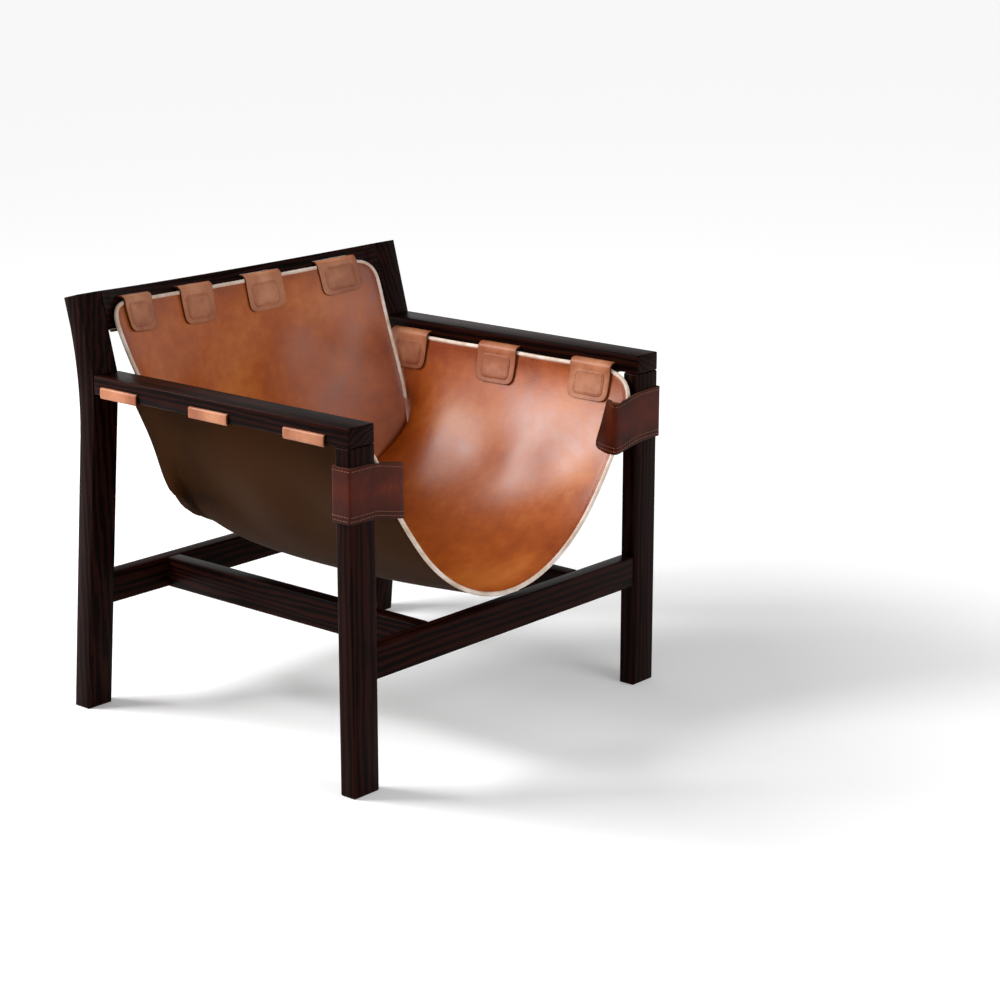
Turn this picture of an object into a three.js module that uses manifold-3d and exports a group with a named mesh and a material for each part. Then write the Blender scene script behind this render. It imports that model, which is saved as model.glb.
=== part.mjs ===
// Lounge chair: a leather sling hung in a dark wood frame.
// Millimetres. Z is up, the chair faces -Y, and +X is the sitter's left.
// Y is measured back from the front legs' front faces until the last lines centre the chair.
import * as THREE from 'three';
import { RoundedBoxGeometry } from 'three/addons/geometries/RoundedBoxGeometry.js';
import { mergeVertices } from 'three/addons/utils/BufferGeometryUtils.js';
import Module from 'manifold-3d';

const wasm = await Module();
wasm.setup();

// Frame sizes
const FRAME_WIDTH = 714;
const ARM_TOP = 555;
const ARM_THICK = 30;
const ARM_WIDTH = 52;
const LEG_WIDTH = 52;
const LEG_DEPTH = 29;
const KNEE_SETBACK = 546;
const POST_WIDTH = 50;
const POST_DEPTH = 32;
const POST_RISE = 122;
const POST_LEAN = THREE.MathUtils.degToRad(15);
const FOOT_KICK = 49;
const KNEE_BLEND = 70;
const RAIL_HEIGHT = 62;
const RAIL_THICK = 24;
const RAIL_BOW = 60;
const STRETCHER_BOTTOM = 171;
const STRETCHER_HEIGHT = 50;
const STRETCHER_THICK = 26;
const STRETCHER_INSET = 2;
const SIDE_STRETCHER_SPREAD = 380;
const TENON_THICK = 12;
const TENON_LENGTH = 18;
const TENON_SHOULDER = 7;
const SHORT_TENON = 14;
const EDGE_RADIUS = 2.5;
const FIT = 0.3;

// Leather sizes
const HIDE_THICK = 4;
const PIPING = 7;
const TAB_THICK = 3;
const TAB_DROP = 52;
const TAB_CORNER = 12;
const TAB_TAIL = 5;
const ARM_TAB_WIDTH = 82;
const ARM_TAB_COUNT = 3;
const ARM_TAB_FRONT_INSET = 88;
const ARM_TAB_BACK_INSET = 60;
const ARM_SLOT_DEPTH = 17;
const BACK_TAB_WIDTH = 77;
const BACK_TAB_COUNT = 4;
const BACK_TAB_INSET = 85;
const BACK_SLOT_DEPTH = 13;
const SLOT_GAP = 0.5;
const SLOT_PLAY = 1.5;
const STRAP_THICK = 3.5;
const STRAP_TOP = 498;
const STRAP_HEIGHT = 82;
const STRAP_LAP = 44;
const STRAP_MEET = 60;
const STRAP_TAIL = 80;
const STRAP_DROOP = 12;
const SEAM = 0.8;
const LOOSE = 0.9;

// Sling shape: its edges, the seat line's places as shares of its run, and the powers of its curves
const SIDE_EDGE_DROP = -1;
const BACK_EDGE_DROP = 26;
const FRONT_CORNER = 45;
const FRONT_EDGE_SETBACK = 8;
const SEAT_FRONT_RISE = 12;
const SEAT_SAG = 14;
const SEAT_LOW_START = 0.36;
const SEAT_LOW_END = 0.78;
const HEEL_RISE = 13;
const HEEL_PLACE = 0.94;
const BACK_FOOT_RISE = 30;
const BACK_FOOT_LEAD = 12;
const SLIT_BOTTOM_HEIGHT = 342;
const SLIT_BOTTOM_LEAD = 88;
const SLIT_BOTTOM_INSET = 42;
const FLAP_LOW_HEIGHT = 445;
const FLAP_LOW_LEAD = 66;
const FLAP_LOW_INSET = 39;
const FLAP_HIGH_HEIGHT = 548;
const FLAP_HIGH_LEAD = 16;
const FLAP_HIGH_INSET = 25;
const FLAP_TOP_INSET = 11;
const FLAP_CORNER = 33;
const SIDE_FLAP_END = 12;
const TROUGH_POWER = 1.4;
const SIDE_FLAP_SWEEP = 0.75;
const SIDE_FLAP_SPREAD = 0.7;
const SIDE_FLAP_TUCK = 12;
const FRONT_HOLD = 4;

// Mesh counts of the leather forms
const HALF_COLUMNS = 13;
const SLIT_COLUMN = 8;
const TROUGH_ROWS = 15;
const FLAP_ROWS = 9;
const TAB_COLUMNS = 3;
const BEND_STEPS = 3;
const STRAP_ROWS = 4;
const PIPING_SIDES = 6;
const RAIL_SEGMENTS = 14;
const KNEE_SEGMENTS = 8;
const ROUNDING_STEPS = 2;

// Places that follow from the sizes
const HALF_WIDTH = FRAME_WIDTH / 2;
const ARM_BOTTOM = ARM_TOP - ARM_THICK;
const ARM_INNER = HALF_WIDTH - ARM_WIDTH;
const LEG_INNER = HALF_WIDTH - LEG_WIDTH;
const POST_INNER = HALF_WIDTH - POST_WIDTH;
const POST_TOP = ARM_TOP + POST_RISE;
const POST_TOP_SETBACK = KNEE_SETBACK + POST_RISE * Math.tan(POST_LEAN);
const STRETCHER_TOP = STRETCHER_BOTTOM + STRETCHER_HEIGHT;
const STRETCHER_MIDDLE = STRETCHER_BOTTOM + STRETCHER_HEIGHT / 2;
const SIDE_STRETCHER_MIDDLE = (SIDE_STRETCHER_SPREAD - STRETCHER_THICK) / 2;
const FRONT_STRETCHER_MIDDLE = STRETCHER_INSET + STRETCHER_THICK / 2;
const POST_SETBACK_AT_STRETCHER = KNEE_SETBACK + FOOT_KICK * (1 - STRETCHER_MIDDLE / ARM_BOTTOM);
const BACK_STRETCHER_MIDDLE = POST_SETBACK_AT_STRETCHER + POST_DEPTH / 2;
const RAIL_RADIUS = (POST_INNER ** 2 + RAIL_BOW ** 2) / (2 * RAIL_BOW);
const RAIL_CENTRE = RAIL_BOW - RAIL_RADIUS;
const RAIL_LENGTH = 2 * RAIL_RADIUS * Math.asin(POST_INNER / RAIL_RADIUS);
const BACK_TAB_PITCH = (RAIL_LENGTH - 2 * BACK_TAB_INSET) / (BACK_TAB_COUNT - 1);
const ARM_TAB_PITCH = (KNEE_SETBACK - ARM_TAB_FRONT_INSET - ARM_TAB_BACK_INSET) / (ARM_TAB_COUNT - 1);
const SEAT_FRONT_HEIGHT = STRETCHER_TOP + SEAT_FRONT_RISE;
const SEAT_LOW_HEIGHT = SEAT_FRONT_HEIGHT - SEAT_SAG;
const HEEL_HEIGHT = SEAT_LOW_HEIGHT + HEEL_RISE;
const BACK_FOOT_HEIGHT = HEEL_HEIGHT + BACK_FOOT_RISE;
const PIPING_REACH = PIPING / 2 + LOOSE;
const HANG = PIPING_REACH + LOOSE;
const SLOT_HEIGHT = TAB_THICK + 2 * SLOT_GAP;
const SIDE_EDGE = ARM_BOTTOM - SIDE_EDGE_DROP;
const SIDE_REACH = ARM_INNER - HANG;
const TAB_OFFSET = HIDE_THICK / 2 + SEAM + TAB_THICK / 2;
const STRAP_OFFSET = HIDE_THICK / 2 + LOOSE + STRAP_THICK / 2;

// Materials
const wood = new THREE.MeshStandardMaterial({ color: '#2a1512', roughness: 0.35, metalness: 0 });
const hide = new THREE.MeshStandardMaterial({ color: '#a3582c', roughness: 0.4, metalness: 0 });
const pipingLeather = new THREE.MeshStandardMaterial({ color: '#e8d5c8', roughness: 0.6, metalness: 0 });
const tabLeather = new THREE.MeshStandardMaterial({ color: '#a9694a', roughness: 0.5, metalness: 0 });
const strapLeather = new THREE.MeshStandardMaterial({ color: '#7c3a24', roughness: 0.5, metalness: 0 });

const chair = new THREE.Group();

function place(name, geometry, material) {
  const mesh = new THREE.Mesh(geometry, material);
  mesh.name = name;
  chair.add(mesh);
}

// Solids: a geometry becomes a manifold for joining and cutting, and comes back as a geometry
function toSolid(geometry) {
  const bare = geometry.clone();
  bare.deleteAttribute('normal');
  bare.deleteAttribute('uv');
  const merged = mergeVertices(bare);
  const vertProperties = new Float32Array(merged.attributes.position.array);
  const triVerts = new Uint32Array(merged.index.array);
  return new wasm.Manifold(new wasm.Mesh({ numProp: 3, vertProperties, triVerts }));
}

function toGeometry(solid) {
  const mesh = solid.getMesh();
  const geometry = new THREE.BufferGeometry();
  geometry.setAttribute('position', new THREE.BufferAttribute(new Float32Array(mesh.vertProperties), 3));
  geometry.setIndex(new THREE.BufferAttribute(new Uint32Array(mesh.triVerts), 1));
  geometry.computeVertexNormals();
  return geometry;
}

// A piece of timber with softened edges, between two opposite corners
function timber(low, high) {
  const size = new THREE.Vector3().subVectors(high, low);
  const middle = new THREE.Vector3().addVectors(low, high).multiplyScalar(0.5);
  const geometry = new RoundedBoxGeometry(size.x, size.y, size.z, ROUNDING_STEPS, EDGE_RADIUS);
  return toSolid(geometry.translate(middle.x, middle.y, middle.z));
}

// A sharp box round a middle point, for tenons and for what is cut away
function block(middle, size, matrix = new THREE.Matrix4()) {
  const geometry = new THREE.BoxGeometry(size.x, size.y, size.z);
  geometry.translate(middle.x, middle.y, middle.z);
  return toSolid(geometry.applyMatrix4(matrix));
}

// The hole for a tenon is the tenon's box grown by the fit on every side
function mortise(middle, size, matrix) {
  const grown = size.clone().addScalar(2 * FIT);
  return block(middle, grown, matrix);
}

function vec(x, y, z) {
  return new THREE.Vector3(x, y, z);
}

// Tenon boxes, each used for the tenon and for its mortise
function armTenon(side) {
  const size = vec(ARM_WIDTH - 2 * TENON_SHOULDER, 2 * TENON_LENGTH, TENON_THICK);
  return { middle: vec(side * (HALF_WIDTH - ARM_WIDTH / 2), KNEE_SETBACK, ARM_TOP - ARM_THICK / 2), size };
}

function legTenon(side) {
  const size = vec(LEG_WIDTH - 2 * TENON_SHOULDER, TENON_THICK, 2 * TENON_LENGTH);
  return { middle: vec(side * (HALF_WIDTH - LEG_WIDTH / 2), LEG_DEPTH / 2, ARM_BOTTOM), size };
}

function crossTenon(side, inner, setback) {
  const size = vec(2 * TENON_LENGTH, TENON_THICK, STRETCHER_HEIGHT - 2 * TENON_SHOULDER);
  return { middle: vec(side * inner, setback, STRETCHER_MIDDLE), size };
}

function sideTenon(side, setback) {
  const size = vec(TENON_THICK, 2 * SHORT_TENON, STRETCHER_HEIGHT - 2 * TENON_SHOULDER);
  return { middle: vec(side * SIDE_STRETCHER_MIDDLE, setback, STRETCHER_MIDDLE), size };
}

function railTenon(side) {
  const size = vec(2 * TENON_LENGTH, TENON_THICK, RAIL_HEIGHT - 2 * TENON_SHOULDER);
  return { middle: vec(side * POST_INNER, RAIL_THICK / 2, -RAIL_HEIGHT / 2), size };
}

// The back rail's own frame: X across, Y back from the posts' front faces, Z up the lean from their tops
const railFrame = new THREE.Matrix4().makeRotationX(-POST_LEAN).setPosition(0, POST_TOP_SETBACK, POST_TOP);

// A point beside the bowed rail: angle round its arc, depth behind its front face, height from its top
function besideRail(angle, depth, height) {
  const radius = RAIL_RADIUS + depth;
  const point = vec(radius * Math.sin(angle), RAIL_CENTRE + radius * Math.cos(angle), height);
  return point.applyMatrix4(railFrame);
}

// A point beside an arm: setback along it, depth out from its inner face, height from its top
function besideArm(side, setback, depth, height) {
  return vec(side * (ARM_INNER + depth), setback, ARM_TOP + height);
}

function armTabSetback(index) {
  return ARM_TAB_FRONT_INSET + index * ARM_TAB_PITCH;
}

// The angle round the rail's arc of a place along a back tab's width
function backTabAngle(index, along = 0) {
  return ((index - (BACK_TAB_COUNT - 1) / 2) * BACK_TAB_PITCH + along) / RAIL_RADIUS;
}

// Front legs and arms
function frontLeg(side) {
  const inner = side * LEG_INNER;
  const outer = side * HALF_WIDTH;
  const low = vec(Math.min(inner, outer), 0, 0);
  const high = vec(Math.max(inner, outer), LEG_DEPTH, ARM_BOTTOM - FIT);
  const up = legTenon(side);
  const across = crossTenon(side, LEG_INNER, FRONT_STRETCHER_MIDDLE);
  return toGeometry(timber(low, high)
    .subtract(mortise(across.middle, across.size))
    .add(block(up.middle, up.size)));
}

function arm(side) {
  const inner = side * ARM_INNER;
  const outer = side * HALF_WIDTH;
  const low = vec(Math.min(inner, outer), 0, ARM_BOTTOM);
  const high = vec(Math.max(inner, outer), KNEE_SETBACK - FIT, ARM_TOP);
  const down = legTenon(side);
  const back = armTenon(side);
  let solid = timber(low, high).add(block(back.middle, back.size)).subtract(mortise(down.middle, down.size));
  for (let index = 0; index < ARM_TAB_COUNT; index += 1) {
    const middle = besideArm(side, armTabSetback(index), ARM_WIDTH / 2, -ARM_SLOT_DEPTH);
    solid = solid.subtract(block(middle, vec(2 * ARM_WIDTH, ARM_TAB_WIDTH + 2 * SLOT_PLAY, SLOT_HEIGHT)));
  }
  return toGeometry(solid);
}

// Back posts: the side outline, with a flat at the knee where the arm meets it, drawn back and up
function backPost(side) {
  const depthAcross = POST_DEPTH * Math.cos(POST_LEAN);
  const outline = new THREE.Shape();
  outline.moveTo(KNEE_SETBACK + FOOT_KICK, 0);
  outline.lineTo(KNEE_SETBACK + FOOT_KICK + POST_DEPTH, 0);
  const below = KNEE_BLEND / ARM_BOTTOM;
  const above = KNEE_BLEND / POST_RISE;
  outline.lineTo(KNEE_SETBACK + POST_DEPTH + FOOT_KICK * below, ARM_BOTTOM - KNEE_BLEND);
  outline.quadraticCurveTo(
    KNEE_SETBACK + POST_DEPTH,
    ARM_TOP - ARM_THICK / 2,
    KNEE_SETBACK + POST_DEPTH + (POST_TOP_SETBACK - KNEE_SETBACK) * above,
    ARM_TOP + KNEE_BLEND,
  );
  const topBack = POST_TOP_SETBACK + depthAcross * Math.cos(POST_LEAN);
  outline.lineTo(topBack, POST_TOP - depthAcross * Math.sin(POST_LEAN));
  outline.lineTo(POST_TOP_SETBACK, POST_TOP);
  outline.lineTo(KNEE_SETBACK, ARM_TOP);
  outline.lineTo(KNEE_SETBACK, ARM_BOTTOM);
  const geometry = new THREE.ExtrudeGeometry(outline, {
    depth: POST_WIDTH - 2 * EDGE_RADIUS,
    bevelSize: EDGE_RADIUS,
    bevelOffset: -EDGE_RADIUS,
    bevelThickness: EDGE_RADIUS,
    bevelSegments: ROUNDING_STEPS,
    curveSegments: KNEE_SEGMENTS,
  });
  geometry.applyMatrix4(new THREE.Matrix4().makeBasis(vec(0, 1, 0), vec(0, 0, 1), vec(1, 0, 0)));
  const left = side > 0 ? POST_INNER : -HALF_WIDTH;
  geometry.translate(left + EDGE_RADIUS, 0, 0);
  const forward = armTenon(side);
  const across = crossTenon(side, POST_INNER, BACK_STRETCHER_MIDDLE);
  const rail = railTenon(side);
  return toGeometry(toSolid(geometry)
    .subtract(mortise(forward.middle, forward.size))
    .subtract(mortise(across.middle, across.size))
    .subtract(mortise(rail.middle, rail.size, railFrame)));
}

// Back rail: an arc in plan with a slot for each tab, in its own frame, then leaned with the posts
function backRail() {
  const end = POST_INNER - FIT;
  const backRadius = RAIL_RADIUS + RAIL_THICK;
  const frontAngle = Math.asin(end / RAIL_RADIUS);
  const backAngle = Math.asin(end / backRadius);
  const outline = new THREE.Shape();
  outline.absarc(0, RAIL_CENTRE, RAIL_RADIUS, Math.PI / 2 - frontAngle, Math.PI / 2 + frontAngle, false);
  outline.absarc(0, RAIL_CENTRE, backRadius, Math.PI / 2 + backAngle, Math.PI / 2 - backAngle, true);
  const geometry = new THREE.ExtrudeGeometry(outline, {
    depth: RAIL_HEIGHT - 2 * EDGE_RADIUS,
    bevelSize: EDGE_RADIUS,
    bevelOffset: -EDGE_RADIUS,
    bevelThickness: EDGE_RADIUS,
    bevelSegments: ROUNDING_STEPS,
    curveSegments: RAIL_SEGMENTS,
  });
  let solid = toSolid(geometry.translate(0, 0, EDGE_RADIUS - RAIL_HEIGHT));
  for (let index = 0; index < BACK_TAB_COUNT; index += 1) {
    const size = vec(BACK_TAB_WIDTH + 2 * SLOT_PLAY, 2 * RAIL_THICK, SLOT_HEIGHT);
    const turn = new THREE.Matrix4().makeRotationZ(-backTabAngle(index)).setPosition(0, RAIL_CENTRE, 0);
    const middle = vec(0, RAIL_RADIUS + RAIL_THICK / 2, -BACK_SLOT_DEPTH);
    solid = solid.subtract(block(middle, size, turn));
  }
  for (const side of [-1, 1]) {
    const tenon = railTenon(side);
    solid = solid.add(block(tenon.middle, tenon.size));
  }
  return toGeometry(solid).applyMatrix4(railFrame);
}

// Stretchers
function crossStretcher(inner, setback) {
  const low = vec(FIT - inner, setback - STRETCHER_THICK / 2, STRETCHER_BOTTOM);
  const high = vec(inner - FIT, setback + STRETCHER_THICK / 2, STRETCHER_TOP);
  let solid = timber(low, high);
  for (const side of [-1, 1]) {
    const end = crossTenon(side, inner, setback);
    const face = setback < KNEE_SETBACK / 2 ? setback + STRETCHER_THICK / 2 : setback - STRETCHER_THICK / 2;
    const rail = sideTenon(side, face);
    solid = solid.add(block(end.middle, end.size)).subtract(mortise(rail.middle, rail.size));
  }
  return toGeometry(solid);
}

function sideStretcher(side) {
  const front = FRONT_STRETCHER_MIDDLE + STRETCHER_THICK / 2;
  const back = BACK_STRETCHER_MIDDLE - STRETCHER_THICK / 2;
  const middle = side * SIDE_STRETCHER_MIDDLE;
  const low = vec(middle - STRETCHER_THICK / 2, front + FIT, STRETCHER_BOTTOM);
  const high = vec(middle + STRETCHER_THICK / 2, back - FIT, STRETCHER_TOP);
  let solid = timber(low, high);
  for (const face of [front, back]) {
    const tenon = sideTenon(side, face);
    solid = solid.add(block(tenon.middle, tenon.size));
  }
  return toGeometry(solid);
}

// Leather sheets: a sheet of points and four-sided faces gets its thickness, with walls round its edge
function sheet(points, faces, thickness) {
  const normals = points.map(() => vec(0, 0, 0));
  const edges = new Set();
  for (const face of faces) {
    const first = new THREE.Vector3().subVectors(points[face[2]], points[face[0]]);
    const second = new THREE.Vector3().subVectors(points[face[3]], points[face[1]]);
    const normal = first.cross(second).normalize();
    face.forEach((corner, index) => {
      normals[corner].add(normal);
      edges.add(`${corner} ${face[(index + 1) % 4]}`);
    });
  }
  normals.forEach((normal) => normal.normalize());
  const position = [];
  for (const offset of [thickness / 2, -thickness / 2]) {
    points.forEach((point, index) => position.push(...point.clone().addScaledVector(normals[index], offset)));
  }
  const count = points.length;
  const triangles = [];
  const quad = (a, b, c, d) => triangles.push(a, b, c, a, c, d);
  for (const [a, b, c, d] of faces) {
    quad(a, b, c, d);
    quad(a + count, d + count, c + count, b + count);
  }
  for (const edge of edges) {
    const [from, to] = edge.split(' ').map(Number);
    if (!edges.has(`${to} ${from}`)) {
      quad(from + count, to + count, to, from);
    }
  }
  const geometry = new THREE.BufferGeometry();
  geometry.setAttribute('position', new THREE.Float32BufferAttribute(position, 3));
  geometry.setIndex(triangles);
  geometry.computeVertexNormals();
  return { geometry, normals };
}

// A sheet from rows of points that all have the same length
function sheetFromRows(rows, thickness) {
  const width = rows[0].length;
  const faces = [];
  for (let row = 0; row + 1 < rows.length; row += 1) {
    for (let column = 0; column + 1 < width; column += 1) {
      const corner = row * width + column;
      faces.push([corner, corner + 1, corner + width + 1, corner + width]);
    }
  }
  return sheet(rows.flat(), faces, thickness).geometry;
}

// Sling: the trough is a patch between its front edge, its back row, its middle line and the arms
const RIGHT_ANGLE = Math.PI / 2;
const slitBottom = vec(POST_INNER - SLIT_BOTTOM_INSET, KNEE_SETBACK - SLIT_BOTTOM_LEAD, SLIT_BOTTOM_HEIGHT);
const SLIT_ANGLE = Math.asin(slitBottom.x / SIDE_REACH);
const backFoot = vec(0, KNEE_SETBACK - BACK_FOOT_LEAD, BACK_FOOT_HEIGHT);
const sideFlapEnd = vec(SIDE_REACH, KNEE_SETBACK - SIDE_FLAP_END, SIDE_EDGE);
const seatSpot = (share, height) => {
  return vec(0, THREE.MathUtils.lerp(FRONT_EDGE_SETBACK, backFoot.y, share), height);
};
const seatLine = new THREE.CatmullRomCurve3([
  seatSpot(0, SEAT_FRONT_HEIGHT),
  seatSpot(SEAT_LOW_START, SEAT_LOW_HEIGHT),
  seatSpot(SEAT_LOW_END, SEAT_LOW_HEIGHT),
  seatSpot(HEEL_PLACE, HEEL_HEIGHT),
  backFoot,
]);

function frontEdge(angle) {
  const drop = (SIDE_EDGE - SEAT_FRONT_HEIGHT) * Math.max(Math.cos(angle), 0) ** TROUGH_POWER;
  const rise = Math.max(FRONT_CORNER - drop, 0);
  const setback = FRONT_EDGE_SETBACK + FRONT_CORNER - Math.sqrt(FRONT_CORNER ** 2 - rise ** 2);
  return vec(SIDE_REACH * Math.sin(angle), setback, SIDE_EDGE - drop);
}

function backRow(angle) {
  const size = Math.abs(angle);
  const mirror = Math.sign(angle) || 1;
  if (size <= SLIT_ANGLE) {
    const share = size / SLIT_ANGLE;
    const point = backFoot.clone().lerp(slitBottom, share ** 2);
    return point.setX(mirror * slitBottom.x * share);
  }
  const share = (size - SLIT_ANGLE) / (RIGHT_ANGLE - SLIT_ANGLE);
  const point = slitBottom.clone().lerp(sideFlapEnd, share);
  point.setY(THREE.MathUtils.lerp(slitBottom.y, sideFlapEnd.y, share ** SIDE_FLAP_SWEEP));
  const spread = THREE.MathUtils.lerp(slitBottom.x, sideFlapEnd.x, share ** SIDE_FLAP_SPREAD);
  return point.setX(mirror * (spread - SIDE_FLAP_TUCK * Math.sin(Math.PI * share)));
}

function armLine(side, share) {
  const start = frontEdge(side * RIGHT_ANGLE);
  const setback = seatLine.getPoint(share).y;
  const along = (setback - FRONT_EDGE_SETBACK) / (backFoot.y - FRONT_EDGE_SETBACK);
  return start.setY(THREE.MathUtils.lerp(start.y, sideFlapEnd.y, along));
}

function trough(angle, share) {
  const side = Math.sign(angle) || 1;
  const blend = share ** FRONT_HOLD;
  const middle = Math.cos(angle) ** 2;
  const mixed = (at) => frontEdge(at).lerp(backRow(at), blend);
  const centre = seatLine.getPoint(share).sub(mixed(0)).multiplyScalar(middle);
  const edge = armLine(side, share).sub(mixed(side * RIGHT_ANGLE)).multiplyScalar(1 - middle);
  return mixed(angle).add(centre).add(edge);
}

// Sling: the back flap goes up from the trough's back row to the rail, between its two free edges
const flapTop = besideRail(0, -HANG, -BACK_EDGE_DROP);
const flapEdge = new THREE.CatmullRomCurve3([
  slitBottom,
  vec(POST_INNER - FLAP_LOW_INSET, KNEE_SETBACK - FLAP_LOW_LEAD, FLAP_LOW_HEIGHT),
  vec(POST_INNER - FLAP_HIGH_INSET, KNEE_SETBACK - FLAP_HIGH_LEAD, FLAP_HIGH_HEIGHT),
  besideRail(Math.asin((POST_INNER - FLAP_TOP_INSET) / RAIL_RADIUS), -HANG, -BACK_EDGE_DROP),
]);
const FLAP_LENGTH = flapTop.distanceTo(backFoot);

// A point of the back flap: x across, and a share of the way up
function flapSpot(x, share) {
  const edge = flapEdge.getPoint(share);
  return backFoot.clone().lerp(flapTop, share).lerp(edge, (x / edge.x) ** 2).setX(x);
}

// The same by a share of the flap's half width, which narrows where the top corners are rounded
function backFlap(across, share) {
  const rise = Math.max(FLAP_CORNER - (1 - share) * FLAP_LENGTH, 0);
  const corner = FLAP_CORNER - Math.sqrt(FLAP_CORNER ** 2 - rise ** 2);
  return flapSpot(across * (flapEdge.getPoint(share).x - corner), share);
}

function columnAngle(column) {
  const size = Math.abs(column);
  const outer = (RIGHT_ANGLE - SLIT_ANGLE) * (size - SLIT_COLUMN) / (HALF_COLUMNS - SLIT_COLUMN);
  const angle = size <= SLIT_COLUMN ? SLIT_ANGLE * size / SLIT_COLUMN : SLIT_ANGLE + outer;
  return Math.sign(column) * angle;
}

function makeSling() {
  const points = [];
  const faces = [];
  const troughIndex = [];
  const flapIndex = [];
  const add = (point) => points.push(point) - 1;
  for (let row = 0; row <= TROUGH_ROWS; row += 1) {
    troughIndex.push([]);
    for (let column = -HALF_COLUMNS; column <= HALF_COLUMNS; column += 1) {
      troughIndex[row].push(add(trough(columnAngle(column), row / TROUGH_ROWS)));
    }
  }
  const first = HALF_COLUMNS - SLIT_COLUMN;
  flapIndex.push(troughIndex[TROUGH_ROWS].slice(first, first + 2 * SLIT_COLUMN + 1));
  for (let row = 1; row <= FLAP_ROWS; row += 1) {
    flapIndex.push([]);
    for (let column = -SLIT_COLUMN; column <= SLIT_COLUMN; column += 1) {
      flapIndex[row].push(add(backFlap(column / SLIT_COLUMN, Math.sin(RIGHT_ANGLE * row / FLAP_ROWS))));
    }
  }
  for (const grid of [troughIndex, flapIndex]) {
    for (let row = 0; row + 1 < grid.length; row += 1) {
      for (let column = 0; column + 1 < grid[row].length; column += 1) {
        const [near, far] = [grid[row], grid[row + 1]];
        faces.push([near[column], near[column + 1], far[column + 1], far[column]]);
      }
    }
  }
  return { points, troughIndex, flapIndex, ...sheet(points, faces, HIDE_THICK) };
}

// Piping: a round cord just outside a run of the sling's edge points
function piping(sling, run) {
  const path = run.map((index, place) => {
    const before = sling.points[run[Math.max(place - 1, 0)]];
    const after = sling.points[run[Math.min(place + 1, run.length - 1)]];
    const outward = new THREE.Vector3().subVectors(after, before).cross(sling.normals[index]).normalize();
    return sling.points[index].clone().addScaledVector(outward, PIPING_REACH);
  });
  const section = new THREE.Shape().absarc(0, 0, PIPING / 2, 0, 2 * Math.PI, false);
  return new THREE.ExtrudeGeometry(section, {
    steps: 2 * run.length,
    curveSegments: PIPING_SIDES / 2,
    extrudePath: new THREE.CatmullRomCurve3(path),
  });
}

function seatRun(sling) {
  const grid = sling.troughIndex;
  const right = grid.map((row) => row[0]).reverse();
  const left = grid.map((row) => row[row.length - 1]);
  return [...right, ...grid[0].slice(1, -1), ...left];
}

function backRun(sling) {
  const grid = sling.flapIndex.slice(2);
  const right = grid.map((row) => row[0]);
  const left = grid.map((row) => row[row.length - 1]);
  const top = grid[grid.length - 1].slice(1, -1);
  return [...left, ...top.reverse(), ...right.reverse()];
}

// Searching the sling's surface: number of halvings, steps for slopes, and where the sides start
const HALVINGS = 30;
const ANGLE_STEP = 0.01;
const SHARE_STEP = 0.003;
const ACROSS_STEP = 1;
const SIDE_START = 0.4;

function halving(low, high, tooLow) {
  let from = low;
  let to = high;
  for (let step = 0; step < HALVINGS; step += 1) {
    const middle = (from + to) / 2;
    if (tooLow(middle)) {
      from = middle;
    } else {
      to = middle;
    }
  }
  return (from + to) / 2;
}

function surfaceNormal(surface, a, b, stepA, stepB) {
  const first = surface(a + stepA, b).sub(surface(a - stepA, b));
  const second = surface(a, b + stepB).sub(surface(a, b - stepB));
  return first.cross(second).normalize();
}

// A spot beside the side flap at a setback and a height, offset towards the sitter
function besideSideFlap(side, setback, height, offset) {
  const inside = (angle) => halving(SHARE_STEP, 1 - SHARE_STEP, (share) => trough(angle, share).y < setback);
  const angle = halving(SIDE_START, RIGHT_ANGLE - ANGLE_STEP, (at) => trough(at, inside(at)).z < height);
  const normal = surfaceNormal(trough, angle, inside(angle), ANGLE_STEP, SHARE_STEP);
  const point = trough(angle, inside(angle)).addScaledVector(normal, offset);
  return vec(side * point.x, setback, point.z);
}

// A spot beside the back flap, across from the middle and down from its top edge
function besideBackFlap(across, drop, offset) {
  const share = 1 - drop / FLAP_LENGTH;
  const normal = surfaceNormal(flapSpot, across, share, ACROSS_STEP, SHARE_STEP);
  return flapSpot(across, share).addScaledVector(normal, offset);
}

// Points round part of an ellipse
function bend(middle, reach, from, to) {
  const points = [];
  for (let step = 0; step <= BEND_STEPS; step += 1) {
    const turn = THREE.MathUtils.lerp(from, to, step / BEND_STEPS);
    points.push([middle[0] + reach[0] * Math.cos(turn), middle[1] + reach[1] * Math.sin(turn)]);
  }
  return points;
}

// Tabs: each is a loop whose leaf lies inside the hide, and whose tail passes the slot and comes back below.
// The loop's section past the hide: over the piping, through the slot, down the far face and back underneath
function loopSection(depth, slotToEdge, slotToBottom) {
  const over = HANG + PIPING / 2 + SEAM + TAB_THICK / 2;
  const clear = SEAM + TAB_THICK / 2;
  const turn = 2 * clear;
  const under = -slotToBottom - clear;
  return [
    ...bend([0, -slotToEdge], [over, slotToEdge], Math.PI, RIGHT_ANGLE),
    ...bend([depth, -clear], [clear, clear], RIGHT_ANGLE, 0),
    ...bend([depth, -slotToBottom], [clear, clear], 0, -RIGHT_ANGLE),
    ...bend([clear + turn, under - turn], [turn, turn], RIGHT_ANGLE, Math.PI),
  ];
}

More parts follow.
